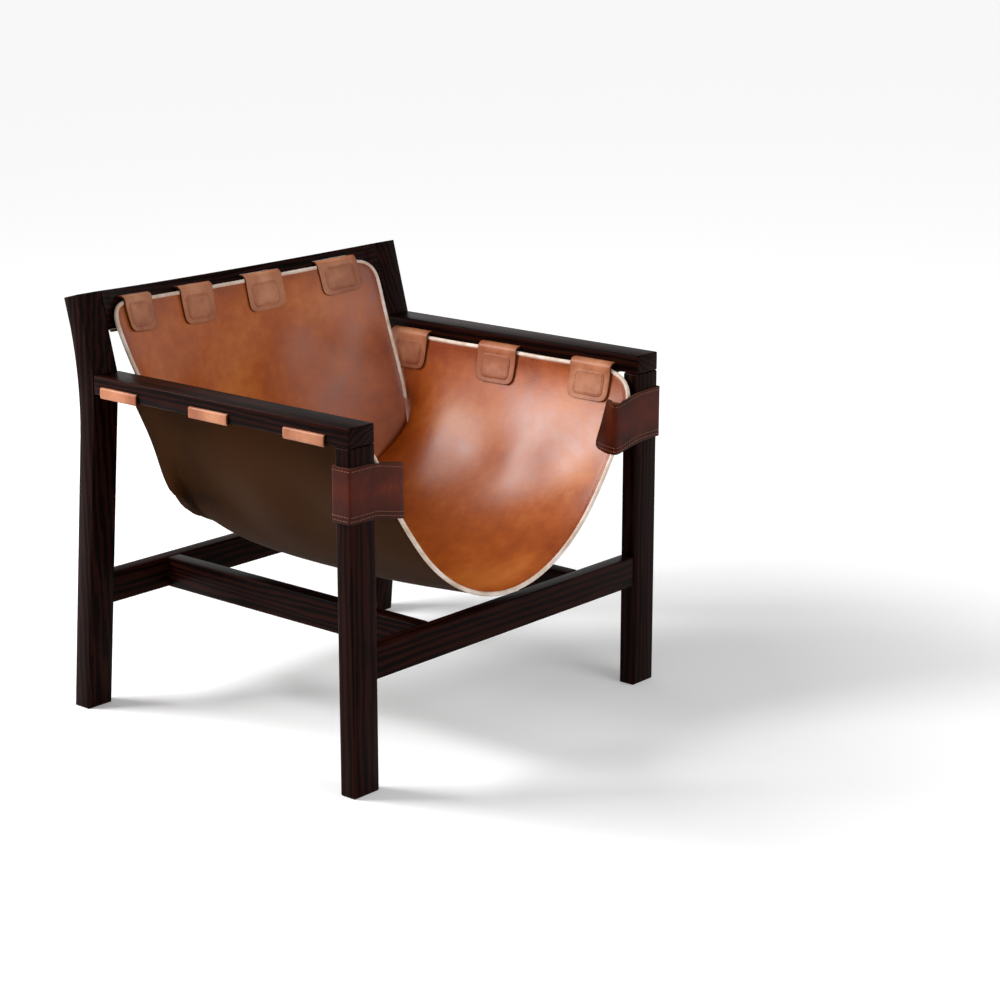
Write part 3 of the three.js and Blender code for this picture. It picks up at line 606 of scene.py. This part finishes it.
settled = [settle(vert.co, vert.normal) for vert in hide.data.vertices]
hide.data.vertices.foreach_set("co", [value for place in settled for value in place])
hide.data.update()
mark_edge(hide.data)
hide_rim = rim_points(hide.data)
print("hide: tabs every", round(TAB_PITCH / MM), "mm on the sides and",
      round(BACK_TAB_PITCH / MM), "mm on the back")

# %% [markdown]
# ## Grain side of the leather
# The hide is vegetable-tanned cowhide, about 4 mm thick, stained cognac and waxed. Its grain side
# is glossy and cloudy, darker where it was cut and sewn, with fine creases. A photograph of leather
# would show its seams on the curved hide, so clouds, mottling, creases and pebbles are drawn in
# space. The same function gives the tabs and the straps, which are stained another colour.

# %% Grain side of the leather
CLOUDING = 160 * MM
MOTTLING = 22 * MM
CREASE_WIDTH = 9 * MM
PEBBLE_WIDTH = 2.2 * MM
DARK_EDGE = 45 * MM
CLOUDING_PART, MOTTLE_PART, CREASE_PART = 0.65, 0.35, 1.4
SHINE_SPREAD = 0.1


def grain_leather(name, dark, middle, light, dullness, polish):
    """Waxed grain leather. Its pebbles are drawn at twice their real size, so that they show."""
    material, tree = start_material(name)
    place = add(tree, "ShaderNodeTexCoord").outputs["Object"]
    cloud = add(tree, "ShaderNodeTexNoise",
                {"Vector": place, "Scale": 1 / CLOUDING, "Detail": 3.0})
    mottle = add(tree, "ShaderNodeTexNoise",
                 {"Vector": place, "Scale": 1 / MOTTLING, "Detail": 5.0, "Roughness": 0.65})
    pebble = add(tree, "ShaderNodeTexVoronoi", {"Vector": place, "Scale": 1 / PEBBLE_WIDTH},
                 feature="SMOOTH_F1")
    crease = add(tree, "ShaderNodeTexNoise",
                 {"Vector": place, "Scale": 1 / CREASE_WIDTH, "Detail": 3.0, "Distortion": 1.2})
    edge = add(tree, "ShaderNodeAttribute", attribute_name="edge")
    inner = add(tree, "ShaderNodeMapRange",
                {"Value": edge.outputs["Fac"], "From Max": DARK_EDGE,
                 "To Min": -0.16, "To Max": 0.02})
    tone = add(tree, "ShaderNodeMath",
               {0: mottle.outputs["Fac"], 1: MOTTLE_PART, 2: inner.outputs[0]},
               operation="MULTIPLY_ADD")
    tone = add(tree, "ShaderNodeMath",
               {0: cloud.outputs["Fac"], 1: CLOUDING_PART, 2: tone.outputs[0]},
               operation="MULTIPLY_ADD")
    colour = add(tree, "ShaderNodeValToRGB", {"Fac": tone.outputs[0]},
                 stops=[(0.28, dark), (0.72, light), (0.5, middle)])
    shine = add(tree, "ShaderNodeMapRange",
                {"Value": mottle.outputs["Fac"], "To Min": dullness - SHINE_SPREAD,
                 "To Max": dullness + SHINE_SPREAD})
    skin = add(tree, "ShaderNodeMath",
               {0: crease.outputs["Fac"], 1: CREASE_PART, 2: pebble.outputs["Distance"]},
               operation="MULTIPLY_ADD")
    bump = add(tree, "ShaderNodeBump",
               {"Height": skin.outputs[0], "Strength": 0.16, "Distance": 0.5 * MM})
    shader = add(tree, "ShaderNodeBsdfPrincipled",
                 {"Base Color": colour.outputs[0], "Roughness": shine.outputs[0],
                  "Normal": bump.outputs[0], "IOR": 1.48, "Specular IOR Level": polish})
    end_material(tree, shader)
    return material


cognac = grain_leather("cognac_cowhide_grain", "#853608", "#ad5411", "#cc7833",
                       dullness=0.34, polish=0.4)
print("grain side:", cognac.name)

# %% [markdown]
# ## Flesh side and cut edge
# The back of the hide is the rough flesh side, a dull brown nap with no shine. The cut between the
# two sides was rubbed dark. Real nap could be hair, but at this distance it is only a soft mottle,
# so a fine noise gives its colour and its roughness.

# %% Flesh side and cut edge
NAP_WIDTH = 1.8 * MM


def flesh_leather(name, dark, light):
    """The brushed back of a hide: a short nap that scatters light and hides every highlight."""
    material, tree = start_material(name)
    place = add(tree, "ShaderNodeTexCoord").outputs["Object"]
    nap = add(tree, "ShaderNodeTexNoise",
              {"Vector": place, "Scale": 1 / NAP_WIDTH, "Detail": 4.0, "Roughness": 0.7})
    cloud = add(tree, "ShaderNodeTexNoise",
                {"Vector": place, "Scale": 1 / CLOUDING, "Detail": 4.0})
    tone = add(tree, "ShaderNodeMath", {0: nap.outputs["Fac"], 1: cloud.outputs["Fac"]},
               operation="ADD")
    colour = add(tree, "ShaderNodeValToRGB", {"Fac": tone.outputs[0]},
                 stops=[(0.7, dark), (1.3, light)])
    bump = add(tree, "ShaderNodeBump",
               {"Height": nap.outputs["Fac"], "Strength": 0.35, "Distance": 0.4 * MM})
    shader = add(tree, "ShaderNodeBsdfPrincipled",
                 {"Base Color": colour.outputs[0], "Roughness": 0.95, "Normal": bump.outputs[0],
                  "IOR": 1.4, "Specular IOR Level": 0.1, "Sheen Weight": 0.03,
                  "Sheen Roughness": 0.5})
    end_material(tree, shader)
    return material


suede = flesh_leather("cowhide_flesh_side", "#201105", "#3a1f07")
cut_edge = flesh_leather("burnished_cut_edge", "#2e1609", "#553016")
print("back and cut:", suede.name, "and", cut_edge.name)

# %% [markdown]
# ## Thickness
# A sheet of leather has a face, a back and a cut. Three meshes would have to be sewn together at
# the edge. A modifier grows the back away from the face that shows, with a rim between them, and
# another takes the sharpness off the cut.

# %% Thickness
CUT_ROUNDING = 6
CUT_SEGMENTS = 2
CUT_ANGLE = math.radians(50)


def thicken(sheet, thick, face, back, cut):
    """Gives a sheet its thickness away from the face that shows, with softened cut edges."""
    for material in (face, back, cut):
        sheet.data.materials.append(material)
    body = sheet.modifiers.new("thickness", "SOLIDIFY")
    body.thickness = thick
    body.offset = -1
    body.use_even_offset = False
    body.material_offset = 1
    body.material_offset_rim = 2
    soft = sheet.modifiers.new("soft_edges", "BEVEL")
    soft.width = thick / CUT_ROUNDING
    soft.segments = CUT_SEGMENTS
    soft.limit_method = "ANGLE"
    soft.angle_limit = CUT_ANGLE


thicken(hide, HIDE_THICK, cognac, suede, cut_edge)
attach(hide, "root")
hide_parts("sling")
print("hide: cognac inside, suede outside,", HIDE_THICK / MM, "mm thick")

# %% [markdown]
# ## Runs along the hide's edge
# Piping and seams follow two runs of the hide's edge: one from arm to arm round the front, and one
# round the back flap. They could be drawn as curves by hand, but they would part from the hide
# when it changes, so each run is cut out of the walk round the edge.

# %% Runs along the hide's edge
def nearest(walk, place):
    """The number of the place in a walk that is nearest to a place."""
    return min(range(len(walk)), key=lambda at: (walk[at][0] - place).length)


def edge_run(begin, middle, end):
    """The stretch of the hide's edge from begin to end that passes middle."""
    count = len(hide_rim)
    start, through, stop = (nearest(hide_rim, place) for place in (begin, middle, end))
    step = 1 if (through - start) % count < (stop - start) % count else -1
    run = [start]
    while run[-1] != stop:
        run.append((run[-1] + step) % count)
    return [hide_rim[at] for at in run]


def spaced(path, pitch):
    """Points at an even pitch along a path of points."""
    lengths = [0.0]
    for near, far in zip(path, path[1:]):
        lengths.append(lengths[-1] + (far - near).length)
    count = max(2, round(lengths[-1] / pitch) + 1)
    wanted = np.linspace(0, lengths[-1], count)
    columns = [np.interp(wanted, lengths, [place[axis] for place in path]) for axis in range(3)]
    return [Vector(place) for place in zip(*columns)]


def softened(path, rounds):
    """A path with its small corners evened out. Its two ends stay."""
    for _ in range(rounds):
        inner = [(a + 2 * b + c) / 4 for a, b, c in zip(path, path[1:], path[2:])]
        path = [path[0], *inner, path[-1]]
    return path


def flap_foot(end):
    """Where the piping starts on one edge of the back flap, just above the notch."""
    return (hide_rows[TROUGH_END + 1][end] + hide_rows[TROUGH_END + 2][end]) / 2


front_middle = hide_rows[0][len(hide_rows[0]) // 2]
top_middle = hide_rows[-1][len(hide_rows[-1]) // 2]
runs = {"seat_piping": edge_run(hide_rows[TROUGH_END][0], front_middle, hide_rows[TROUGH_END][-1]),
        "back_piping": edge_run(flap_foot(0), top_middle, flap_foot(-1))}
print("runs:", {node: len(run) for node, run in runs.items()}, "places")

# %% [markdown]
# ## Piping
# A cream leather cord is sewn round the free edges. It could be a curve with a bevel, but a tube
# built ring by ring can show the small puckers that a leather strip gets when it is folded over a
# cord and sewn.

# %% Piping
PIPING_RADIUS = 3.5 * MM
PIPING_SIDES = 12
PIPING_STEP = 4 * MM
PIPING_ROUNDS = 2
# The cord is thinner on the last two rings of each end.
PIPING_ENDS = {0: 0.6, 1: 0.9}
SEWN_IN = 1.2 * MM
PUCKER = 0.12 * MM
PUCKER_PITCH = 11 * MM
RUBBED_WIDTH = 30 * MM
WRINKLE_WIDTH = 3 * MM


def piece_of(name, points, faces, material):
    """A smooth mesh piece from points and faces, which rides with the chair."""
    mesh = bpy.data.meshes.new(name)
    mesh.from_pydata(points, [], faces)
    mesh.shade_smooth()
    mesh.materials.append(material)
    made = bpy.data.objects.new(name, mesh)
    bpy.context.scene.collection.objects.link(made)
    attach(made, "root")
    return made


def bands(first, rings, count):
    """The four-sided faces between rings of count points, the first of which is number first."""
    faces = []
    for low in range(first, first + (rings - 1) * count, count):
        for corner in range(count):
            after = (corner + 1) % count
            faces.append((low + corner, low + after, low + count + after, low + count + corner))
    return faces


def tube(name, path, radius, material):
    """A round cord along a path, closed at both ends."""
    points = []
    side = None
    for number, place in enumerate(path):
        tangent = path[min(number + 1, len(path) - 1)] - path[max(number - 1, 0)]
        tangent.normalize()
        side = (side or tangent.orthogonal()).copy()
        side = (side - tangent * side.dot(tangent)).normalized()
        other = tangent.cross(side)
        grown = radius * PIPING_ENDS.get(min(number, len(path) - 1 - number), 1.0)
        grown += PUCKER * math.sin(2 * math.pi * number * PIPING_STEP / PUCKER_PITCH)
        for corner in range(PIPING_SIDES):
            turn = 2 * math.pi * corner / PIPING_SIDES
            points.append(place + side * grown * math.cos(turn) + other * grown * math.sin(turn))
    faces = bands(0, len(path), PIPING_SIDES)
    faces.append(tuple(reversed(range(PIPING_SIDES))))
    faces.append(tuple(range(len(points) - PIPING_SIDES, len(points))))
    return piece_of(name, points, faces, material)


# Cream goatskin piping: thin matt leather, rubbed a little darker where it is handled.
cream, tree = start_material("cream_goatskin")
place = add(tree, "ShaderNodeTexCoord").outputs["Object"]
rubbed = add(tree, "ShaderNodeTexNoise",
             {"Vector": place, "Scale": 1 / RUBBED_WIDTH, "Detail": 5.0})
wrinkle = add(tree, "ShaderNodeTexNoise",
              {"Vector": place, "Scale": 1 / WRINKLE_WIDTH, "Detail": 3.0})
colour = add(tree, "ShaderNodeValToRGB", {"Fac": rubbed.outputs["Fac"]},
             stops=[(0.3, "#c9ab92"), (0.62, "#ecdccf")])
bump = add(tree, "ShaderNodeBump",
           {"Height": wrinkle.outputs["Fac"], "Strength": 0.3, "Distance": 0.4 * MM})
end_material(tree, add(tree, "ShaderNodeBsdfPrincipled",
                       {"Base Color": colour.outputs[0], "Roughness": 0.6,
                        "Normal": bump.outputs[0]}))

for node, run in runs.items():
    outward = PIPING_RADIUS - SEWN_IN
    path = [place - inside * outward - normal * HIDE_THICK / 2 for place, inside, normal in run]
    path = spaced(softened(path, PIPING_ROUNDS), PIPING_STEP)
    trim = tube(node + "_cord", softened(path, PIPING_ROUNDS), PIPING_RADIUS, cream)
    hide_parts(node)
    print(node, "of", len(path), "rings")

# %% [markdown]
# ## Stitches
# Every edge and ply is sewn with one brown thread, darker than the hide and paler than the straps.
# A line drawn in the material would look printed from close by, so each stitch is a small rounded
# thread that lies on the leather and dips into it at both ends. All the stitches of one leather
# piece are one mesh.

# %% Stitches
THREAD = 0.9 * MM
STITCH_PITCH = 6 * MM
STITCH_SHARE = 0.74
STITCH_SIDES = 5
# Rings along a stitch: the place along it, the thickness there, and how high it lies.
STITCH_RINGS = [(-1.0, 0.5, -0.9), (-0.75, 0.9, 0.0), (0.0, 1.0, 0.25), (0.75, 0.9, 0.0),
                (1.0, 0.5, -0.9)]
SEAM_INSET = 6 * MM
SEAM_ROUNDS = 3


def surface_of(mesh):
    """A fine sheet as a surface that can be asked for its nearest point."""
    return BVHTree.FromPolygons([vert.co for vert in mesh.vertices],
                                [face.vertices for face in mesh.polygons])


def stitches(name, seams, surface, material):
    """Rows of stitches on a surface along seams. Each seam is a path of points."""
    points = []
    faces = []
    radius = THREAD / 2
    half = STITCH_PITCH * STITCH_SHARE / 2
    for seam in seams:
        places = spaced(seam, STITCH_PITCH)
        for near, far in zip(places, places[1:]):
            foot, normal, _, _ = surface.find_nearest((near + far) / 2)
            tangent = far - near
            tangent = (tangent - normal * tangent.dot(normal)).normalized()
            side = normal.cross(tangent)
            first = len(points)
            for along, thick, high in STITCH_RINGS:
                middle = foot + tangent * half * along + normal * (radius * high)
                for corner in range(STITCH_SIDES):
                    turn = 2 * math.pi * corner / STITCH_SIDES
                    spoke = side * math.cos(turn) + normal * math.sin(turn)
                    points.append(middle + spoke * radius * thick)
            faces += [(a, d, c, b) for a, b, c, d in bands(first, len(STITCH_RINGS), STITCH_SIDES)]
    return piece_of(name, points, faces, material)


# Waxed linen thread: slightly shiny. Its twist is too fine to see, so it is only a fine mottle.
thread, tree = start_material("waxed_linen_thread")
place = add(tree, "ShaderNodeTexCoord").outputs["Object"]
twist = add(tree, "ShaderNodeTexNoise", {"Vector": place, "Scale": 1 / THREAD, "Detail": 2.0})
colour = add(tree, "ShaderNodeValToRGB", {"Fac": twist.outputs["Fac"]},
             stops=[(0.3, "#6b3a1c"), (0.7, "#a8683c")])
end_material(tree, add(tree, "ShaderNodeBsdfPrincipled",
                       {"Base Color": colour.outputs[0], "Roughness": 0.5}))

hide_seams = [softened([place + inside * SEAM_INSET for place, inside, _ in run], SEAM_ROUNDS)
              for run in runs.values()]
hide_stitches = stitches("sling_edge_stitches", hide_seams, surface_of(hide.data), thread)
print("edge seams:", len(hide_stitches.data.polygons), "faces of thread")

# %% [markdown]
# ## One hide on ten tabs
# The sling is cut from one hide: a wide piece for the seat and sides and a narrower flap for the
# back, with a notch where they part. It hangs from ten tabs, three on each arm and four on the
# back rail, and their parts in the model are listed here.


tab_nodes = ["arm_tab_%s_%d" % (side, number) for side in ("right", "left")
             for number in (1, 2, 3)]
tab_nodes += ["back_tab_%d" % number for number in (1, 2, 3, 4)]

# %% [markdown]
# ## The second ply of a tab
# The leaf of a tab that shows has a second ply with round corners sewn on it. A flat plate would
# stand off where the leaf bends. The ply is laid on ring by ring instead: each ring is dropped on
# the leaf from the front, so it follows the bend wherever the tab hangs.

# %% The second ply of a tab
PLY_SHARE = 0.74
PLY_HEIGHT = 40 * MM
PLY_FOOT = 7 * MM
PLY_CORNER = 9 * MM
PLY_THICK = 1.3 * MM
PLY_SEAM = 3.2 * MM
DROP_FROM = 30 * MM
CORNER_POINTS = 6
SIDE_POINTS = 5
LEAF_ROW = 4
# Rings from the ply's outline to its middle: how many mm in, and the share of its thickness.
PLY_RINGS = [(0, -0.4), (0.0, 0.45), (0.35, 0.8), (1.0, 1.0), (5.0, 1.05), (10.0, 1.1),
             (14.0, 1.1)]


def rounded_outline(width, height, radius):
    """A rectangle with round corners, as pairs of numbers round its middle."""
    x, y = width / 2 - radius, height / 2 - radius
    centres = [(x, y), (-x, y), (-x, -y), (x, -y)]
    outline = []
    for turn, centre in enumerate(centres):
        for number in range(CORNER_POINTS + 1):
            angle = math.pi / 2 * (turn + number / CORNER_POINTS)
            outline.append((centre[0] + radius * math.cos(angle),
                            centre[1] + radius * math.sin(angle)))
        begin = outline[-1]
        following = centres[(turn + 1) % 4]
        angle = math.pi / 2 * (turn + 1)
        end = (following[0] + radius * math.cos(angle), following[1] + radius * math.sin(angle))
        for number in range(1, SIDE_POINTS):
            share = number / SIDE_POINTS
            outline.append((begin[0] + (end[0] - begin[0]) * share,
                            begin[1] + (end[1] - begin[1]) * share))
    return outline


def lay_ply(name, rows, surface, width, material):
    """A second ply on a tab's leaf, and the path of its seam."""
    across = (rows[LEAF_ROW][-1] - rows[LEAF_ROW][0]).normalized()
    foot = (rows[0][0] + rows[0][-1]) / 2
    top = (rows[LEAF_ROW][0] + rows[LEAF_ROW][-1]) / 2
    up = (top - foot).normalized()
    front = across.cross(up).normalized()
    middle = foot + up * (PLY_FOOT + PLY_HEIGHT / 2)

    def laid(inset, height):
        ring = []
        outline = rounded_outline(width - 2 * inset, PLY_HEIGHT - 2 * inset,
                                  max(PLY_CORNER - inset, MM))
        for a, b in outline:
            above = middle + across * a + up * b + front * DROP_FROM
            hit, normal, _, _ = surface.ray_cast(above, -front)
            ring.append(hit + normal * height)
        return ring

    rings = [laid(inset * MM, share * PLY_THICK) for inset, share in PLY_RINGS]
    count = len(rings[0])
    points = [place for ring in rings for place in ring]
    points.append(sum(rings[-1], Vector()) / count)
    faces = bands(0, len(rings), count)
    last = (len(rings) - 1) * count
    faces += [(last + number, last + (number + 1) % count, len(points) - 1)
              for number in range(count)]
    ply = piece_of(name, points, faces, material)
    mark_edge(ply.data)
    seam = laid(PLY_SEAM, PLY_THICK)
    return ply, [*seam, seam[0]]


print("ply:", PLY_HEIGHT / MM, "mm high,", len(PLY_RINGS), "rings")

# %% [markdown]
# ## Tabs
# Ten looped tabs carry the hide. Each is a strip of saddle leather that goes over the hide's edge,
# round the wood and back. It could be bent from a flat strip, but the loop in the model already
# fits its slot, so it is lifted from its solid like the hide.

# %% Tabs
saddle = grain_leather("saddle_tan_tab_leather", "#965537", "#c0805c", "#d8a384",
                       dullness=0.45, polish=0.3)
# For each kind of tab: how its first triangle is chosen, the way that its face looks, the way to
# the corner where its rows start, and the way that they run.
hangs = {"arm_tab_right": (outermost, (-1, 0, 0), (0, -1, -3), (0, 1, 0)),
         "arm_tab_left": (outermost, (1, 0, 0), (0, 1, -3), (0, -1, 0)),
         "back_tab": (largest, (0, 1, 0), (-0.8, -3, -3), (1, 0, 0))}
for node in tab_nodes:
    rows = lift(node, TAB_THICK, *hangs[node.rsplit("_", 1)[0]])
    loop = make_sheet(node + "_loop", rows)
    mark_edge(loop.data)
    width = (rows[LEAF_ROW][-1] - rows[LEAF_ROW][0]).length
    ply, seam = lay_ply(node + "_ply", rows, surface_of(loop.data), width * PLY_SHARE, saddle)
    sewn = stitches(node + "_stitches", [seam], surface_of(ply.data), thread)
    thicken(loop, TAB_THICK, saddle, suede, cut_edge)
    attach(loop, "root")
    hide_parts(node)
print("tabs:", len(tab_nodes), "loops, each with a sewn ply")

# %% [markdown]
# ## Corner straps
# A wide strap of red-brown bridle leather holds each front corner of the hide to its leg. It is
# sewn to the inside of the hide, goes round the leg and is sewn to the outside. It is lifted like
# the tabs, because a strap bent by hand would cut into the leg. It is sewn along both edges, with
# a second row of stitches along the bottom, where the pull of a sitter is greatest.

# %% Corner straps
STRAP_SEAMS = (5 * MM, 12 * MM)
STRAP_SEAM_STEP = 3 * MM
STRAP_SEAM_ROUNDS = 4


def along_rows(rows, distance):
    """A path along the rows of a sheet, at a distance from its first row."""
    place = distance / (rows[1][0] - rows[0][0]).length
    below = int(place)
    return [near.lerp(far, place - below) for near, far in zip(rows[below], rows[below + 1])]


bridle = grain_leather("red_brown_bridle_leather", "#290b04", "#4f1a0b", "#783621",
                       dullness=0.42, polish=0.1)
for node, start in (("corner_strap_right", (0, -1, 1)), ("corner_strap_left", (0, -1, -1))):
    rows = lift(node, STRAP_THICK, largest, (0, -1, 0), start, (0, -1, 0))
    strap = make_sheet(node + "_body", rows)
    mark_edge(strap.data)
    from_bottom = rows if rows[0][0].z < rows[-1][0].z else rows[::-1]
    seams = [along_rows(from_bottom, inset) for inset in STRAP_SEAMS]
    seams.append(along_rows(from_bottom[::-1], STRAP_SEAMS[0]))
    seams = [softened(spaced(seam, STRAP_SEAM_STEP), STRAP_SEAM_ROUNDS) for seam in seams]
    sewn = stitches(node + "_stitches", seams, surface_of(strap.data), thread)
    thicken(strap, STRAP_THICK, bridle, suede, cut_edge)
    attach(strap, "root")
    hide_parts(node)
    print(node, "with", len(seams), "seams")
